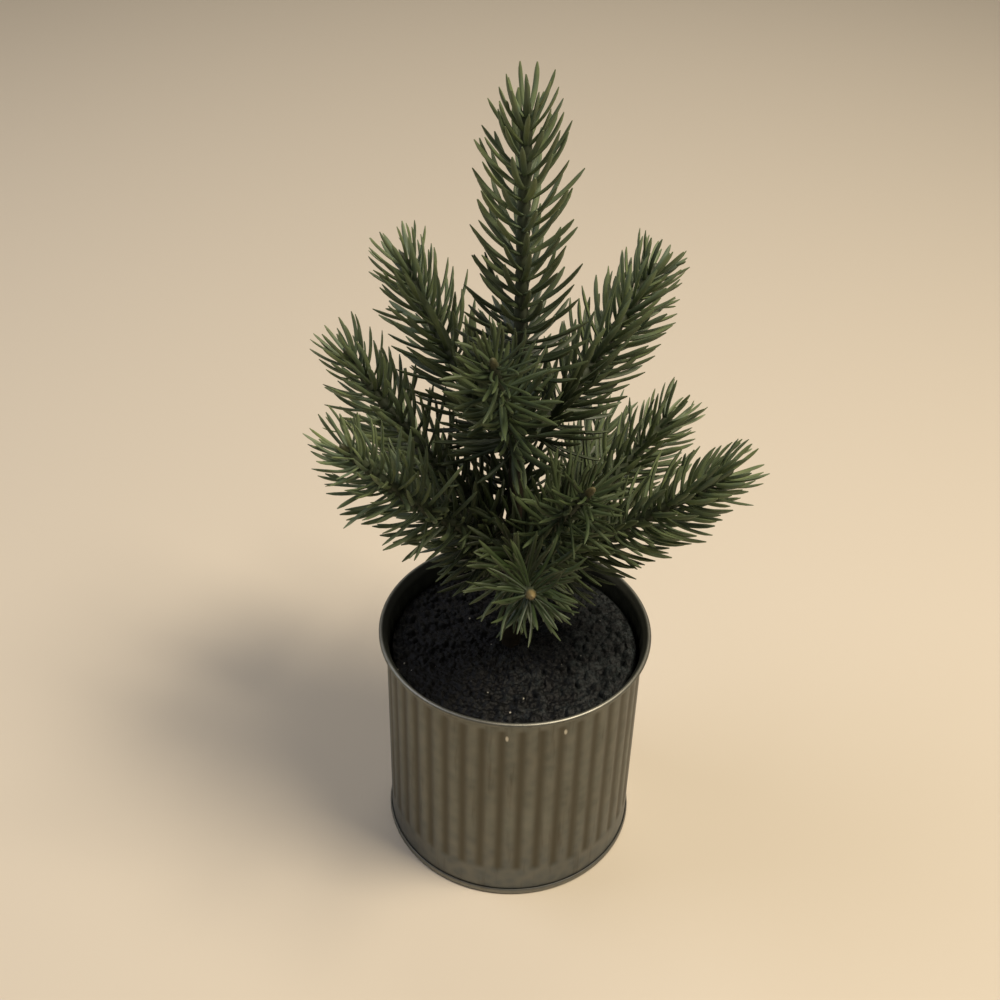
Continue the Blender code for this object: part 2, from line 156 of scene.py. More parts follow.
def galvanised_sheet(name, rubbed_and_highlit, chips=()):
    """Hot-dip galvanised steel that has weathered: dull grey-brown crystals of zinc a few
    millimetres wide, upright stains, and a brighter band at the edge, partly metal rubbed by
    handling and partly a painted highlight. The band is given as the two heights between which it
    gets bright, and a chip is a fleck of white zinc rust, longer than wide. The grooves of the
    flutes are painted darker as painted shade. The inside of the pot is dull, and painted darker
    as painted shade."""
    made, tree, shader = blank_material(name)
    place = add(tree, "TexCoord").outputs["Object"]
    height = add(tree, "SeparateXYZ", links={"Vector": place}).outputs["Z"]
    crystal = add(
        tree, "TexVoronoi", {"Scale": 1000 / 4.5, "feature": "SMOOTH_F1", "Smoothness": 0.6},
        {"Vector": place},
    ).outputs["Distance"]
    cloud = add(
        tree, "TexNoise", {"Scale": 1000 / 26, "Detail": 5.0, "Roughness": 0.6}, {"Vector": place}
    ).outputs["Fac"]
    upright = add(tree, "Mapping", {"Scale": (1.0, 1.0, 0.09)}, {"Vector": place}).outputs["Vector"]
    stain = add(
        tree, "TexNoise", {"Scale": 1000 / 3.2, "Detail": 3.0, "Roughness": 0.65},
        {"Vector": upright},
    ).outputs["Fac"]
    grain = add(
        tree, "TexNoise", {"Scale": 1000 / 0.9, "Detail": 2.0}, {"Vector": place}
    ).outputs["Fac"]
    groove = add(tree, "Attribute", {"attribute_name": "groove"}).outputs["Fac"]
    inside = add(tree, "Attribute", {"attribute_name": "inside"}).outputs["Fac"]
    # A band at the edge painted brighter: partly metal rubbed by handling, partly a painted highlight.
    wear_and_highlight = add(
        tree, "MapRange", {"From Min": rubbed_and_highlit[0], "From Max": rubbed_and_highlit[1], "To Max": 0.3},
        {"Value": height},
    ).outputs["Result"]
    layers = [
        (cloud, 0.30, 0.70, "#7b7e77"),
        (height, 0.040, -0.010, "#61676a"),
        (crystal, 0.2, 2.0, "#8f8b80"),
        (stain, 0.56, 0.95, "#4b4438"),
        # Painted shade: the grooves of the flutes painted darker.
        (groove, 0.0, 1.0, "#59564b"),
        (wear_and_highlight, 0.0, 1.0, "#b3aea0"),
    ]
    for chip in chips:
        off = add(tree, "VectorMath", {"operation": "SUBTRACT", 1: chip}, {0: place})
        off = add(tree, "VectorMath", {"operation": "MULTIPLY", 1: (1.0, 1.0, 0.45)}, {
            0: off.outputs["Vector"],
        })
        off = add(tree, "VectorMath", {"operation": "LENGTH"}, {0: off.outputs["Vector"]})
        layers.append((off.outputs["Value"], 0.00075, 0.00040, "#c9c6ba"))
    # Painted shade: the inside of the pot painted darker.
    layers.append((inside, 0.0, 1.0, "#3a3c33"))
    tree.links.new(tinted(tree, "#62645d", layers), shader.inputs["Base Color"])
    rough = add(tree, "MapRange", {"To Min": 0.40, "To Max": 0.58}, {"Value": cloud})
    tree.links.new(rough.outputs["Result"], shader.inputs["Roughness"])
    dulled = add(tree, "MapRange", {"To Min": 1.0, "To Max": 0.15}, {"Value": inside})
    tree.links.new(dulled.outputs["Result"], shader.inputs["Metallic"])
    relief = add(tree, "Bump", {"Strength": 0.25, "Distance": 0.00008}, {"Height": grain})
    relief = add(
        tree, "Bump", {"Strength": 0.30, "Distance": 0.0002},
        {"Height": crystal, "Normal": relief.outputs["Normal"]},
    )
    tree.links.new(relief.outputs["Normal"], shader.inputs["Normal"])
    return made


hem_inner = WALL_RADIUS + SEAM
hem_outer = hem_inner + SHEET
pan_profile = [
    (BOTTOM_RINGS[0], 0.0),
    (BOTTOM_RINGS[1], 0.0),
    (hem_outer - 0.0006, 0.0),
    (hem_outer - 0.0002, 0.00012),
    (hem_outer, 0.0004),
    (hem_outer + HEM_SWELL * 0.7, 0.0008),
    (hem_outer + HEM_SWELL, 0.0013),
    (hem_outer + HEM_SWELL * 0.8, 0.0018),
    (hem_outer + HEM_SWELL * 0.2, HEM_HEIGHT - 0.0005),
    (hem_outer - 0.00012, HEM_HEIGHT - 0.00012),
    (hem_outer - 0.00028, HEM_HEIGHT),
    (hem_inner + 0.00005, HEM_HEIGHT - 0.00016),
    (hem_inner, HEM_HEIGHT - 0.0005),
    (hem_inner, SHEET),
    (BOTTOM_RINGS[1], SHEET),
    (BOTTOM_RINGS[0], SHEET),
]
pot_base = turned_piece("pot_base_pan", turned_rows(pan_profile, PAN_COLUMNS), True)
finish_piece(
    pot_base, galvanised_sheet("galvanised_base", BASE_RUBBED_AND_HIGHLIT), 40,
    "pot_and_stem", "pot_base",
)

# ------------------------------------------------------------------------------------------------
# Pot wall: a strip of galvanised sheet, fluted between rollers, bent round and seamed. Its top edge
# is rolled outward, and a plain band is left above and below the flutes.

POT_HEIGHT = 0.095
FLUTES = 42
FLUTE_DEPTH = 0.0005
GROOVE_WIDTH = 0.84          # of the distance from one flute to the next
FLUTE_FOOT = 0.0125
FLUTE_HEAD = 0.0905
FLUTE_RUNOUT = 0.0030
RIM_RADIUS = 0.0500
RIM_ROLL = 0.0009
RIM_FLARE = 0.0029           # height over which the wall turns out to the roll
# The bright band at the rim is partly rubbed wear, partly a painted highlight.
WALL_RUBBED_AND_HIGHLIT = (0.0940, 0.0950)   # heights between which the rim gets bright
ROLL_INSIDE = 3              # rows of the roll that face into the pot
WALL_COLUMNS = FLUTES * 12
RUST_CHIPS = ((-0.0018, -0.0473, 0.0852), (0.0186, -0.0435, 0.0856))


def smooth(share):
    """From 0 to 1, level at both ends."""
    share = np.clip(share, 0.0, 1.0)
    return share * share * (3 - 2 * share)


def fluted_rows(profile):
    """The wall's rows with the grooves pressed in, and how deep the groove is at each point, from
    0 to 1. A ridge faces the front."""
    rows = turned_rows(profile, WALL_COLUMNS)
    height = rows[:, :, 2]
    turn = ((around(WALL_COLUMNS) / (2 * math.pi) + 0.25) * FLUTES) % 1.0
    off_groove = np.abs(turn - 0.5) / (GROOVE_WIDTH / 2)
    groove = 0.5 + 0.5 * np.cos(math.pi * np.clip(off_groove, 0, 1))
    fade = smooth((height - FLUTE_FOOT) / FLUTE_RUNOUT)
    fade = fade * smooth((FLUTE_HEAD - height) / FLUTE_RUNOUT)
    radius = np.hypot(rows[:, :, 0], rows[:, :, 1])
    depth = groove[None] * fade
    rows[:, :, :2] *= (1 - FLUTE_DEPTH * depth / radius)[:, :, None]
    return rows, depth


# Rows up the wall, closer together where the flutes run out.
WALL_HEIGHTS = [
    SHEET + SEAM, 0.0045, 0.0090, *np.linspace(FLUTE_FOOT, FLUTE_FOOT + FLUTE_RUNOUT, 6),
    0.022, 0.032, 0.043, 0.054, 0.065, 0.076,
    *np.linspace(FLUTE_HEAD - FLUTE_RUNOUT, FLUTE_HEAD, 6),
]
roll_centre = RIM_RADIUS - RIM_ROLL
roll_height = POT_HEIGHT - RIM_ROLL
flare_run = roll_centre - RIM_ROLL - (WALL_RADIUS - SHEET)
flare = [
    (flare_run * share ** 2, roll_height - RIM_FLARE * (1 - share))
    for share in np.linspace(0.0, 0.72, 6)
]
wall_profile = [(WALL_RADIUS - SHEET, z) for z in WALL_HEIGHTS]
wall_profile += [(WALL_RADIUS - SHEET + out, z) for out, z in flare]
for turn in range(165, -166, -22):
    roll = math.radians(turn)
    wall_profile.append((
        roll_centre + RIM_ROLL * math.cos(roll), roll_height + RIM_ROLL * math.sin(roll),
    ))
wall_profile += [(WALL_RADIUS + out, z) for out, z in reversed(flare)]
wall_profile += [(WALL_RADIUS, z) for z in reversed(WALL_HEIGHTS)]
wall_rows, wall_depth = fluted_rows(wall_profile)
pot_wall = turned_piece("pot_wall_sheet", wall_rows, False)
# Groove depth, which the wall's material also uses to paint the grooves darker as painted shade.
pot_wall.data.attributes.new("groove", "FLOAT", "POINT").data.foreach_set(
    "value", wall_depth.ravel()
)
# Rows that face into the pot, which the material paints darker as painted shade and makes dull.
wall_inside = np.zeros_like(wall_depth)
inner_rows = len(WALL_HEIGHTS) + len(flare) + ROLL_INSIDE
wall_inside[:inner_rows] = 1.0
wall_inside[inner_rows] = 0.6
pot_wall.data.attributes.new("inside", "FLOAT", "POINT").data.foreach_set(
    "value", wall_inside.ravel()
)
finish_piece(
    pot_wall, galvanised_sheet("galvanised_wall", WALL_RUBBED_AND_HIGHLIT, RUST_CHIPS), 50,
    "pot_and_stem", "pot_wall",
)

# ------------------------------------------------------------------------------------------------
# Filling: a disc of plaster cast in the bottom of the pot as a weight, and over it a plug of dry
# floral foam that grips the stem. Both stay hidden, and keep their CAD shapes.


def carried_over(node, material):
    """A CAD node that keeps its own mesh, in a better material."""
    held = frame["nodes"][node]
    held.data.materials.clear()
    held.data.materials.append(material)


# Cast plaster: off-white and matt, with a few pores where air was caught.
plaster, tree, shader = blank_material("cast_plaster")
place = add(tree, "TexCoord").outputs["Object"]
cloud = add(tree, "TexNoise", {"Scale": 1000 / 9, "Detail": 4.0}, {"Vector": place}).outputs["Fac"]
pores = add(tree, "TexVoronoi", {"Scale": 1000 / 3}, {"Vector": place}).outputs["Distance"]
tree.links.new(
    tinted(tree, "#cfcbc0", [(cloud, 0.0, 1.0, "#e2ded4")]), shader.inputs["Base Color"]
)
dimples = add(tree, "Bump", {"Strength": 0.4, "Distance": 0.0003}, {
    "Height": add(tree, "MapRange", {"From Max": 0.25}, {"Value": pores}).outputs["Result"],
})
tree.links.new(dimples.outputs["Normal"], shader.inputs["Normal"])
shader.inputs["Roughness"].default_value = 0.85
carried_over("plaster_weight", plaster)

# Floral foam: dull green and crumbly, with open cells about a millimetre wide.
foam, tree, shader = blank_material("floral_foam")
place = add(tree, "TexCoord").outputs["Object"]
cells = add(tree, "TexVoronoi", {"Scale": 1000 / 1.0}, {"Vector": place}).outputs["Distance"]
tree.links.new(
    tinted(tree, "#46543d", [(cells, 0.0, 1.0, "#6d7c60")]), shader.inputs["Base Color"]
)
open_cells = add(tree, "Bump", {"Strength": 0.7, "Distance": 0.0004}, {"Height": cells})
tree.links.new(open_cells.outputs["Normal"], shader.inputs["Normal"])
shader.inputs["Roughness"].default_value = 0.95
carried_over("foam_plug", foam)

# ------------------------------------------------------------------------------------------------
# Artificial soil: grains of black plastic and coal dust glued over the foam in a crust. It lies a
# little below the rim, in clods of a millimetre or two that stand higher towards the front right.

STEM_X = -0.0015             # the stem stands a little left of the pot's axis
WRAP_FOOT_RADIUS = 0.0042
SOIL_RADIUS = 0.0451
SOIL_FOOT = 0.0785
SOIL_BED = 0.0860            # level of the crust between the clods
SOIL_RINGS = 104
SOIL_COLUMNS = 540
CLODS = 2600
CLOD_SMALL = 0.0004
CLOD_LARGE = 0.0028
TAPE_OVERLAP = 0.0004        # how far the glued crust runs into the tape
EDGE_WIDTH = 0.0012          # over which the clods fade out at the wall
MOUND_RISE = 0.0012          # the crust is drawn up a little round the stem
MOUND_RADIUS = 0.012
MOUND_SLOPE = 0.008
GRAIN_DENSITY = 800          # fine lumps to the metre, and their height
GRAIN_RISE = 0.00055
SWELL_DENSITY = 95           # wide swells to the metre, and their height
SWELL_RISE = 0.0009

grains = random.Random(11)
share = np.linspace(1.0, 0.0, SOIL_RINGS + 1)[:, None]
angle = around(SOIL_COLUMNS)[None]
hole = WRAP_FOOT_RADIUS - TAPE_OVERLAP
across = hole + (SOIL_RADIUS - hole) * share
soil_x = across * np.cos(angle) + STEM_X * (1 - share)
soil_y = across * np.sin(angle)
rise = np.zeros_like(soil_x)
for _ in range(CLODS):
    out, turn = SOIL_RADIUS * math.sqrt(grains.random()), grains.uniform(0, 2 * math.pi)
    x, y = out * math.cos(turn), out * math.sin(turn)
    heap = 0.55 + 0.45 * max(0.0, (x - y) / (SOIL_RADIUS * 1.4))
    size = CLOD_SMALL + (CLOD_LARGE - CLOD_SMALL) * grains.random() ** 2.6 * heap
    squash = grains.uniform(0.6, 1.0)
    lift = grains.uniform(-0.4, 0.25) * size
    near = 1 - ((soil_x - x) ** 2 + (soil_y - y) ** 2) / size ** 2
    tilt = grains.uniform(-0.5, 0.5) * (soil_x - x) + grains.uniform(-0.5, 0.5) * (soil_y - y)
    clod = lift + tilt + squash * size * np.abs(near) ** 0.35
    rise = np.maximum(rise, np.where(near > 0, clod, 0))
flat_x, flat_y = soil_x.ravel(), soil_y.ravel()
rough = np.array([
    noise.fractal(Vector((x * GRAIN_DENSITY, y * GRAIN_DENSITY, 3.0)), 0.6, 2.2, 4)
    for x, y in zip(flat_x, flat_y)
]).reshape(soil_x.shape)
swell = np.array([
    noise.noise(Vector((x * SWELL_DENSITY, y * SWELL_DENSITY, 7.0)))
    for x, y in zip(flat_x, flat_y)
]).reshape(soil_x.shape)
edge = smooth((SOIL_RADIUS - across) / EDGE_WIDTH)
mound = MOUND_RISE * smooth((MOUND_RADIUS - across) / MOUND_SLOPE)
soil_z = SOIL_BED + mound + edge * (rise + GRAIN_RISE * rough + SWELL_RISE * swell)
soil_top = np.stack([soil_x, soil_y, soil_z], -1)
soil_bottom = turned_rows([(hole, SOIL_FOOT), (SOIL_RADIUS, SOIL_FOOT)], SOIL_COLUMNS)
soil_bottom[0, :, 0] += STEM_X
soil = turned_piece("soil_crust", np.concatenate([soil_bottom, soil_top]), False)

# Black grit: nearly no colour and matt. Its clod tops are painted lighter than the hollows between
# # them as painted shade, and it has grey patches of dust with a painted sheen, stronger towards the
# # right where the key light falls. A few grains of mica catch the light. The mica is drawn coarser
# # than real so that it shows.
black_grit, tree, shader = blank_material("black_grit")
place = add(tree, "TexCoord").outputs["Object"]
height = add(tree, "SeparateXYZ", links={"Vector": place}).outputs["Z"]
dust_and_sheen = add(
    tree, "TexNoise", {"Scale": 1000 / 5, "Detail": 6.0, "Roughness": 0.7}, {"Vector": place}
).outputs["Fac"]
fine = add(
    tree, "TexNoise", {"Scale": 1000 / 0.7, "Detail": 3.0, "Roughness": 0.7}, {"Vector": place}
).outputs["Fac"]
mica = add(tree, "TexVoronoi", {"Scale": 1000 / 8}, {"Vector": place}).outputs["Distance"]
rightward = add(tree, "SeparateXYZ", links={"Vector": place}).outputs["X"]
# Dust with a painted sheen, in patches that grow towards the right, where the key light falls.
dust_and_right_light = add(tree, "Math", {"operation": "MULTIPLY_ADD", 1: 4.0}, {0: rightward, 2: dust_and_sheen})
grit = tinted(tree, "#030303", [
    # Painted shade: the hollows between the clods darker, their tops lighter.
    (height, SOIL_BED - 0.0002, SOIL_BED + 0.0022, "#0b0d0b"),
    (dust_and_right_light.outputs["Value"], 0.50, 0.80, "#303636"),
    (fine, 0.56, 0.40, "#040404"),
    (mica, 0.055, 0.040, "#9b988c"),
])
tree.links.new(grit, shader.inputs["Base Color"])
glint = add(tree, "MapRange", {"From Min": 0.060, "From Max": 0.045}, {"Value": mica})
sparkle = add(tree, "MapRange", {"To Min": 0.55, "To Max": 0.30}, {
    "Value": glint.outputs["Result"],
})
tree.links.new(sparkle.outputs["Result"], shader.inputs["Roughness"])
shader.inputs["Specular IOR Level"].default_value = 0.22
gritty = add(tree, "Bump", {"Strength": 0.8, "Distance": 0.0003}, {"Height": fine})
tree.links.new(gritty.outputs["Normal"], shader.inputs["Normal"])
finish_piece(soil, black_grit, 80, "pot_and_stem", "soil")

# ------------------------------------------------------------------------------------------------
# Stem: a steel rod pushed into the foam, which stays hidden and keeps its CAD shape, and floral
# tape wound up it over the ends of the sprigs' wires. The tape is brown crepe paper with wax.

STEM_FOOT = 0.0785
STEM_TOP = 0.2030
WRAP_TOP_RADIUS = 0.0021
TAPE_PITCH = 0.0062          # height that one turn of tape climbs
TAPE_STEP = 0.00022          # thickness of the crepe where a turn laps the last
WRAP_START = 0.0003          # from the foot of the stem to the first turn
WIRE_RIDGE = 0.00022         # how much the wires underneath swell the tape
CREASE = 0.00005             # height of the creases in the crepe
WRAP_ROWS = 300
WRAP_COLUMNS = 48

# Drawn steel: grey, with fine lines along the rod.
drawn_steel, tree, shader = blank_material("drawn_steel")
place = add(tree, "TexCoord").outputs["Object"]
drawn = add(tree, "Mapping", {"Scale": (1.0, 1.0, 0.03)}, {"Vector": place}).outputs["Vector"]
lines = add(tree, "TexNoise", {"Scale": 1000 / 0.3, "Detail": 2.0}, {"Vector": drawn})
steel = tinted(tree, "#77746d", [(lines.outputs["Fac"], 0.0, 1.0, "#9b9890")])
tree.links.new(steel, shader.inputs["Base Color"])
shader.inputs["Metallic"].default_value = 1.0
shader.inputs["Roughness"].default_value = 0.38
carried_over("stem_rod", drawn_steel)

climb = np.linspace(0.0, 1.0, WRAP_ROWS)[:, None]
turn = around(WRAP_COLUMNS)[None]
wrap_z = STEM_FOOT + WRAP_START + (STEM_TOP - STEM_FOOT - WRAP_START) * climb + 0 * turn
lap = (wrap_z / TAPE_PITCH - turn / (2 * math.pi)) % 1.0
wires_under = 0.5 + 0.5 * np.cos(7 * turn + 18 * climb)
creases = np.sin(61 * turn + 900 * climb) * np.sin(23 * turn - 310 * climb)
wrap_radius = WRAP_FOOT_RADIUS + (WRAP_TOP_RADIUS - WRAP_FOOT_RADIUS) * climb
wrap_radius = wrap_radius - TAPE_STEP * lap - WIRE_RIDGE * wires_under + CREASE * creases
wrap_radius = wrap_radius * np.sqrt(np.clip((1.004 - climb) / 0.012, 0, 1))
wrap = turned_piece("stem_wrap_tape", np.stack([
    STEM_X + wrap_radius * np.cos(turn), wrap_radius * np.sin(turn), wrap_z,
], -1), True)

# Waxed crepe: brown and slightly shiny, with fine creases across the tape and dark laps.
crepe, tree, shader = blank_material("waxed_crepe_tape")
place = add(tree, "TexCoord").outputs["Object"]
blotch = add(
    tree, "TexNoise", {"Scale": 1000 / 6, "Detail": 5.0}, {"Vector": place}
).outputs["Fac"]
slanted = add(
    tree, "Mapping", {"Scale": (0.25, 0.25, 1.0), "Rotation": (0.0, 0.22, 0.0)}, {"Vector": place}
).outputs["Vector"]
crease = add(
    tree, "TexNoise", {"Scale": 1000 / 0.5, "Detail": 3.0}, {"Vector": slanted}
).outputs["Fac"]
brown = tinted(tree, "#17140c", [(blotch, 0.3, 0.7, "#272013"), (crease, 0.55, 0.75, "#3a3020")])
tree.links.new(brown, shader.inputs["Base Color"])
creped = add(tree, "Bump", {"Strength": 0.5, "Distance": 0.0002}, {"Height": crease})
tree.links.new(creped.outputs["Normal"], shader.inputs["Normal"])
shader.inputs["Roughness"].default_value = 0.62
shader.inputs["IOR"].default_value = 1.44
finish_piece(wrap, crepe, 50, "pot_and_stem", "stem_wrap")

# ------------------------------------------------------------------------------------------------
# Sprig wires: soft annealed steel, blackened by the oven, which is what bends. Each runs from the
# stem up the middle of its moulding, and keeps its CAD shape.

# name: degrees round the stem, rise of the root and of the tip, length, lean of the needles at the
# # tip, yellowness of the green, which also paints the sprig darker as painted shade, colour of the
# # bud, distance between whorls, and how unevenly the needles have been combed out of the packing
SPRIGS = {
    "leader": (100, 86, 90, 0.087, 42, 0.15, 0.0, 0.0044, 0.0),
    "upper_left": (139, 37, 58, 0.073, 44, 0.0, 0.0, 0.0034, 0.1),
    "upper_right": (40, 33, 52, 0.072, 46, 0.20, 0.0, 0.0031, 0.1),
    "upper_front": (-100, 54, 56, 0.072, 46, 0.75, 0.2, 0.0036, 0.7),
    "middle_left": (165, 39, 57, 0.0825, 44, 0.0, 0.0, 0.0034, 0.2),
    "middle_front_left": (-150, 37, 55, 0.0825, 46, 0.0, 0.1, 0.0030, 0.5),
    "middle_front": (-86, 16, 36, 0.078, 66, 1.0, 1.0, 0.0038, 0.9),
    "middle_back": (95, 14, 32, 0.074, 44, 0.20, 0.0, 0.0036, 0.3),
    "lower_back_left": (130, 13, 28, 0.076, 44, 0.20, 0.0, 0.0036, 0.3),
    "lower_back_right": (62, 14, 28, 0.074, 44, 0.20, 0.0, 0.0036, 0.3),
    "lower_right_back": (27, 37, 45, 0.0735, 44, 0.10, 0.0, 0.0034, 0.2),
    "lower_right": (-8, 30, 44, 0.082, 44, 0.10, 0.0, 0.0032, 0.1),
    "lower_front_right": (-63, 56, 52, 0.076, 52, 0.85, 0.5, 0.0036, 0.8),
}

# Annealed wire: a thin black scale with brown in it, duller than bare steel.
annealed_wire, tree, shader = blank_material("annealed_wire")
place = add(tree, "TexCoord").outputs["Object"]
scale = add(tree, "TexNoise", {"Scale": 1000 / 1.5, "Detail": 4.0}, {"Vector": place})
black = tinted(tree, "#1d1a16", [(scale.outputs["Fac"], 0.35, 0.7, "#3a322a")])
tree.links.new(black, shader.inputs["Base Color"])
shader.inputs["Metallic"].default_value = 0.6
shader.inputs["Roughness"].default_value = 0.55
for name in SPRIGS:
    carried_over(name + "_wire", annealed_wire)

# ------------------------------------------------------------------------------------------------
# Sprigs: each a moulding of soft polyethylene over its wire, with a ribbed core, whorls of flat
# curved needles that lean towards the tip, and a small bud. Some needles carry a spur.

BARE_WIRE = 0.0038           # from the root to the start of the moulding
LEADER_BARE_WIRE = 0.0012    # the same for the leader, which sits right on the stem
CORE_RADIUS = 0.0020
CORE_STATIONS = 60
CORE_SIDES = 10
CORE_END = 0.0015            # from the last station to the end of the sprig's length
BUD = ((0.0, 0.52), (0.0007, 0.58), (0.0015, 0.48), (0.0021, 0.28), (0.0024, 0.08))
FIRST_WHORL = 0.0008         # from the start of the moulding
LAST_WHORL = 0.0022          # from the tip of the core
NEEDLES_ROUND = 6
NEEDLE_LENGTH = 0.0215
TIP_NEEDLE_LENGTH = 0.0140
NEEDLE_WIDTH = 0.0019
NEEDLE_FLATNESS = 0.66       # of its width
ROOT_LEAN = 98               # degrees from the core where the first needles leave it
NEEDLE_LEAN = 64             # and from a quarter of the way up
NEEDLE_CLOSING = 34          # by how much it leans less at its tip
NEEDLE_STEPS = 8
NEEDLE_SIDES = 6
SPUR_SHARE = 0.08
STEM_CLEARANCE = 0.0009      # from the middle of a needle to the tape
WIDTH_ALONG = ((0.0, 0.12, 0.40, 0.75, 0.90, 1.0), (0.95, 0.85, 1.0, 0.96, 0.76, 0.25))


class Moulding:
    """Points and faces of one sprig's moulding, with what its material reads at each point: how
    far along the needle it is, the needle's own shade, how far out along the sprig it stands, and
    whether it is core or bud."""

    def __init__(self):
        self.points, self.faces = [], []
        self.along, self.shade, self.core, self.bud, self.outer = [], [], [], [], []

    def tube(self, rings, along, shade, outer, core=0.0, bud=0.0):
        """A tube through rings of points, closed at both ends."""
        first, sides = len(self.points), len(rings[0])
        for number, ring in enumerate(rings):
            self.points += [tuple(point) for point in ring]
            for mine, value in (
                (self.along, along), (self.shade, shade), (self.core, core), (self.bud, bud),
                (self.outer, outer),
            ):
                mine += [value[number] if isinstance(value, list) else value] * sides
        for low in range(first, first + (len(rings) - 1) * sides, sides):
            for side in range(sides):
                after = (side + 1) % sides
                self.faces.append((low + side, low + after, low + sides + after, low + sides + side))
        last = first + (len(rings) - 1) * sides
        self.faces.append(tuple(range(first + sides - 1, first - 1, -1)))
        self.faces.append(tuple(range(last, last + sides)))


def core_frame(root, numbers, along):
    """Place on the core at a distance from the root, with the directions forward, up and across."""
    turn, rise, tip_rise, length = numbers[:4]
    outward = np.array([math.cos(math.radians(turn)), math.sin(math.radians(turn)), 0.0])
    upward = np.array([0.0, 0.0, 1.0])
    start = math.radians(rise)
    curl = math.radians(tip_rise - rise) / length
    angle = start + curl * along
    out = (math.sin(angle) - math.sin(start)) / curl
    up = (math.cos(start) - math.cos(angle)) / curl
    forward = outward * math.cos(angle) + upward * math.sin(angle)
    above = upward * math.cos(angle) - outward * math.sin(angle)
    return root + outward * out + upward * up, forward, above, np.cross(above, forward)


def needle_line(foot, outward, forward, length, lean, closing, sway):
    """Points along one needle, which curves towards the tip of the sprig as it goes."""
    sideways = np.cross(forward, outward)
    places, ways = [foot], []
    for step in range(NEEDLE_STEPS):
        share = (step + 0.5) / NEEDLE_STEPS
        angle = math.radians(lean - closing * share ** 0.8)
        way = outward * math.sin(angle) + forward * math.cos(angle) + sideways * sway * share
        way = way / np.linalg.norm(way)
        ways.append(way)
        places.append(places[-1] + way * length / NEEDLE_STEPS)
    return places, ways + [ways[-1]], sideways


def needle_rings(places, ways, sideways, width, roll):
    """Six-sided rings round a needle: flat, and widest a little before the middle."""
    rings = []
    for step, (place, way) in enumerate(zip(places, ways)):
        flat = np.cross(way, sideways)
        flat = flat / np.linalg.norm(flat)
        wide = np.cross(flat, way)
        half = width / 2 * np.interp(step / NEEDLE_STEPS, *WIDTH_ALONG)
        ring = []
        for side in range(NEEDLE_SIDES):
            angle = 2 * math.pi * side / NEEDLE_SIDES
            a, b = half * math.cos(angle), half * NEEDLE_FLATNESS * math.sin(angle)
            ring.append(
                place
                + wide * (a * math.cos(roll) - b * math.sin(roll))
                + flat * (a * math.sin(roll) + b * math.cos(roll))
            )
        rings.append(ring)
    return rings


def clear_of_stem(places, root, bends):
    """Whether a needle passes the stem, with the sprig at rest and at both ends of its bend."""
    for bend in bends:
        x, y, z = (root + (np.array(places[2:]) - root) @ bend.T).T
        climb = (z - STEM_FOOT) / (STEM_TOP - STEM_FOOT)
        tape = WRAP_FOOT_RADIUS + (WRAP_TOP_RADIUS - WRAP_FOOT_RADIUS) * climb
        if np.any((np.hypot(x - STEM_X, y) < tape + STEM_CLEARANCE) & (climb < 1.01)):
            return False
    return True


def add_needle(
    moulding, chance, root, bends, outer, foot, outward, forward, length, lean, width, uneven,
):
    """One needle, and now and then a spur on it. A needle that would run into the stem leans more
    towards the tip, and if that doesn't help, it is left out."""
    shade = chance.random()
    sway = chance.gauss(0.0, 0.08 + 0.30 * uneven)
    roll = chance.gauss(0.0, 0.25 + 0.35 * uneven)
    closing = NEEDLE_CLOSING * (1 + chance.uniform(-0.2 - uneven, 0.2 + 0.3 * uneven))
    places, ways, sideways = needle_line(foot, outward, forward, length, lean, closing, sway)
    while not clear_of_stem(places, root, bends):
        lean -= 8
        if lean < 15:
            return
        places, ways, sideways = needle_line(foot, outward, forward, length, lean, closing, sway)
    steps = [step / NEEDLE_STEPS for step in range(NEEDLE_STEPS + 1)]
    moulding.tube(needle_rings(places, ways, sideways, width, roll), steps, shade, outer)
    if chance.random() < SPUR_SHARE:
        at = chance.choice((4, 5))
        side = sideways * chance.choice((-1, 1)) + outward * chance.uniform(-0.6, 0.6)
        side = side / np.linalg.norm(side)
        spur, spur_ways, spur_side = needle_line(
            places[at], side, ways[at], length * 0.32, 42, 18, 0.0
        )
        moulding.tube(
            needle_rings(spur, spur_ways, spur_side, width * 0.55, 0.0),
            [0.5 + step / 2 for step in steps], shade, outer,
        )


def add_core(moulding, root, numbers, bare):
    """The core round the wire, thicker at each whorl, and the bud at its tip, which is pairs of
    distance beyond the sprig's length and share of the core's radius. A tan bud is longer."""
    length, tan, pitch = numbers[3], numbers[6], numbers[7]
    rings, along, buds = [], [], []
    stations = list(np.linspace(bare, length - CORE_END, CORE_STATIONS))
    tip = [(beyond * (1 + tan), wide) for beyond, wide in BUD]
    stations += [length + beyond for beyond, _ in tip]
    for number, station in enumerate(stations):
        place, forward, above, across = core_frame(root, numbers, station)
        swell = 1 + 0.10 * math.cos(2 * math.pi * station / pitch)
        radius = CORE_RADIUS * (1.15 - 0.30 * station / length) * swell
        at_bud = number - (len(stations) - len(tip))
        if at_bud >= 0:
            radius = CORE_RADIUS * tip[at_bud][1]
        rings.append([
            place + radius * (across * math.cos(angle) + above * math.sin(angle))
            for angle in around(CORE_SIDES)
        ])
        along.append(station / length)
        buds.append(1.0 if at_bud >= 0 else 0.0)
    moulding.tube(rings, along, 0.5, along, 1.0, buds)


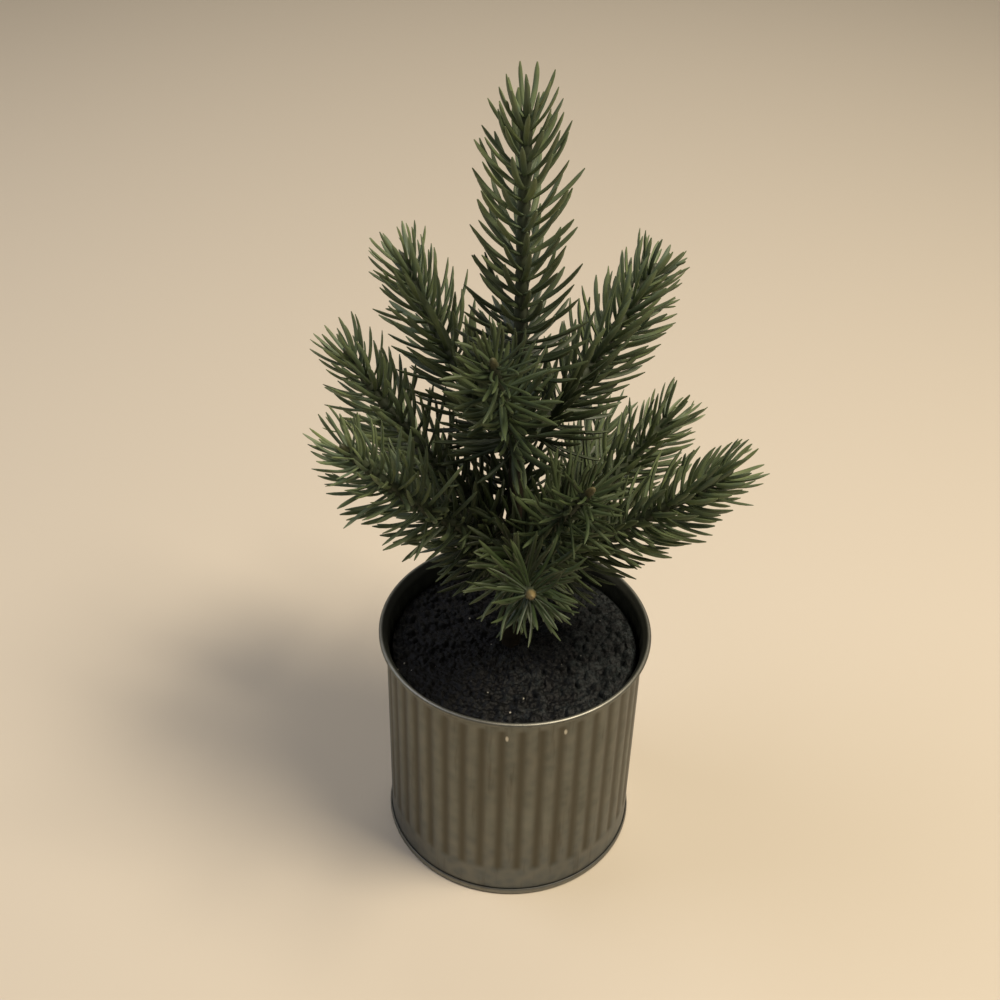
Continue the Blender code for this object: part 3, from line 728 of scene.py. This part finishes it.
def moulded_sprig(name, root, bends, numbers, seed):
    """The moulding of one sprig as a piece."""
    chance = random.Random(seed)
    length, tip_lean, pitch, uneven = numbers[3], numbers[4], numbers[7], numbers[8]
    moulding = Moulding()
    bare = LEADER_BARE_WIRE if name.startswith("leader") else BARE_WIRE
    first = bare + FIRST_WHORL
    add_core(moulding, root, numbers, bare)
    whorls = round((length - LAST_WHORL - first) / pitch)
    for whorl in range(whorls + 1):
        station = first + (length - LAST_WHORL - first) * whorl / whorls
        late = max(0.0, (station / length - 0.62) / 0.38)
        early = max(0.0, 1 - 4 * station / length)
        whorl_needles = NEEDLES_ROUND + round(5 * early + uneven + 1.6 * late)
        for number in range(whorl_needles):
            along = station + chance.uniform(-0.0006, 0.0006)
            place, forward, above, across = core_frame(root, numbers, along)
            angle = 2 * math.pi * (number + 0.5 * (whorl % 2)) / whorl_needles
            angle += chance.gauss(0.0, 0.06 + 0.15 * uneven)
            outward = across * math.cos(angle) + above * math.sin(angle)
            lean = NEEDLE_LEAN + (tip_lean - NEEDLE_LEAN) * late ** 1.2
            lean += (ROOT_LEAN - NEEDLE_LEAN) * early + chance.gauss(0.0, 2.5 + 9 * uneven)
            reach = NEEDLE_LENGTH + (TIP_NEEDLE_LENGTH - NEEDLE_LENGTH) * late
            reach = reach * (1 - 0.08 * uneven) * chance.gauss(1.0, 0.05 + 0.06 * uneven)
            width = NEEDLE_WIDTH * chance.uniform(0.85, 1.15) * (1.1 - 0.4 * uneven - 0.3 * late)
            add_needle(
                moulding, chance, root, bends, station / length,
                place + outward * CORE_RADIUS * 0.5, outward, forward, reach, lean, width, uneven,
            )
    mesh = bpy.data.meshes.new(name)
    mesh.from_pydata(moulding.points, [], moulding.faces)
    for attribute, values in (
        ("along", moulding.along), ("shade", moulding.shade),
        ("core", moulding.core), ("bud", moulding.bud), ("outer", moulding.outer),
        ("yellow_and_shade", [numbers[5]] * len(moulding.points)),
        ("tan_bud", [numbers[6]] * len(moulding.points)),
    ):
        mesh.attributes.new(attribute, "FLOAT", "POINT").data.foreach_set("value", values)
    piece = bpy.data.objects.new(name, mesh)
    bpy.context.scene.collection.objects.link(piece)
    return piece


# Moulded polyethylene: dark green with the bluish sheen of soft plastic, each needle a little
# # different and paler at its tip, olive brown on the core, with a faint grain from the mould. Needles
# # near a sprig's root are painted darker as painted shade, and the front sprigs are painted yellower
# # and darker, the darkness being painted shade.
polyethylene, tree, shader = blank_material("moulded_polyethylene")
place = add(tree, "TexCoord").outputs["Object"]
along, shade, core, bud, outer, yellow_and_shade, tan_bud = [
    add(tree, "Attribute", {"attribute_name": name}).outputs["Fac"]
    for name in ("along", "shade", "core", "bud", "outer", "yellow_and_shade", "tan_bud")
]
mottle = add(
    tree, "TexNoise", {"Scale": 1000 / 7, "Detail": 4.0, "Roughness": 0.6}, {"Vector": place}
).outputs["Fac"]
green = tinted(tree, "#576445", [
    (shade, 0.0, 1.0, "#7b8859"),
    (mottle, 0.40, 0.75, "#596957"),
    # Yellower and darker on the front sprigs: partly their own colour, partly painted shade.
    (yellow_and_shade, 0.0, 1.0, "#20300a"),
    # Painted shade: needles darker towards the sprig's root, deep inside the tree.
    (outer, 0.55, 0.10, "#1d2a10"),
    (along, 0.60, 1.60, "#5f6a44"),
    (along, 0.16, -0.05, "#2f3826"),
    (core, 0.0, 1.25, "#33382a"),
])
tan = tinted(tree, "#363c24", [(tan_bud, 0.0, 1.0, "#7b6c45")])
budded = add(tree, "Mix", {"data_type": "RGBA"}, {0: bud, 6: green, 7: tan})
tree.links.new(budded.outputs[2], shader.inputs["Base Color"])
gloss = add(tree, "MapRange", {"To Min": 0.44, "To Max": 0.66}, {"Value": mottle})
tree.links.new(gloss.outputs["Result"], shader.inputs["Roughness"])
shader.inputs["IOR"].default_value = 1.51
grain = add(tree, "TexNoise", {"Scale": 1000 / 0.8, "Detail": 2.0}, {"Vector": place})
moulded = add(
    tree, "Bump", {"Strength": 0.25, "Distance": 0.0001}, {"Height": grain.outputs["Fac"]}
)
tree.links.new(moulded.outputs["Normal"], shader.inputs["Normal"])

joints = {joint["child"]: joint for joint in frame["joints"]}
for number, (name, numbers) in enumerate(SPRIGS.items()):
    joint = joints[name + "_sprig"]
    bends = [
        np.array(Matrix.Rotation(math.radians(bend), 3, Vector(joint["axis"])))
        for bend in (0.0, *joint["range_deg"])
    ]
    sprig = moulded_sprig(
        name + "_moulding", np.array(joint["pos_m"]), bends, numbers, 100 + number
    )
    finish_piece(sprig, polyethylene, 62, name + "_sprig", name + "_needles")

# ------------------------------------------------------------------------------------------------
# Floor, light and camera: a plain pale floor, and a soft light high on the right of the front.

floor_mesh = bpy.data.meshes.new("floor")
floor_mesh.from_pydata([(-3, -3, 0), (3, -3, 0), (3, 3, 0), (-3, 3, 0)], [], [(0, 1, 2, 3)])
floor = bpy.data.objects.new("floor", floor_mesh)
bpy.context.scene.collection.objects.link(floor)
# Pale floor: plain and matt, so that only the tree is seen.
pale_floor, tree, shader = blank_material("pale_floor")
shader.inputs["Base Color"].default_value = linear("#d0c5b2")
shader.inputs["Roughness"].default_value = 0.7
floor_mesh.materials.append(pale_floor)


def soft_light(name, place, aim, size, watts, colour):
    """A square soft box that faces a point."""
    lamp = bpy.data.lights.new(name, "AREA")
    lamp.size = size
    lamp.energy = watts
    lamp.color = linear(colour)[:3]
    held = bpy.data.objects.new(name, lamp)
    bpy.context.scene.collection.objects.link(held)
    way = Vector(aim) - Vector(place)
    held.matrix_world = Matrix.Translation(place) @ way.to_track_quat("-Z", "Y").to_matrix().to_4x4()


soft_light("key", (0.50, -0.20, 1.15), (0.0, 0.0, 0.12), 0.40, 16.0, "#fff1dc")
soft_light("fill", (-0.8, 0.1, 1.0), (0.0, 0.0, 0.16), 0.7, 4.5, "#eef0ff")
soft_light("back", (0.1, 1.0, 0.9), (0.0, 0.0, 0.15), 0.8, 2.5, "#fff6ea")

world = bpy.data.worlds.new("studio")
world.use_nodes = True
world.node_tree.nodes["Background"].inputs["Color"].default_value = linear("#efeae2")
world.node_tree.nodes["Background"].inputs["Strength"].default_value = 0.18
bpy.context.scene.world = world
bpy.context.scene.view_settings.view_transform = "Standard"

lens = bpy.data.cameras.new("camera")
lens.lens = 49.82
lens.sensor_width = 36.0
camera = bpy.data.objects.new("camera", lens)
bpy.context.scene.collection.objects.link(camera)
camera.matrix_world = (
    Matrix.Translation((-0.0034, -0.3749, 0.4414))
    @ Matrix.Rotation(math.radians(0.516), 4, "Z")
    @ Matrix.Rotation(math.radians(90 - 37.587), 4, "X")
    @ Matrix.Rotation(math.radians(1.523), 4, "Z")
)
bpy.context.scene.camera = camera
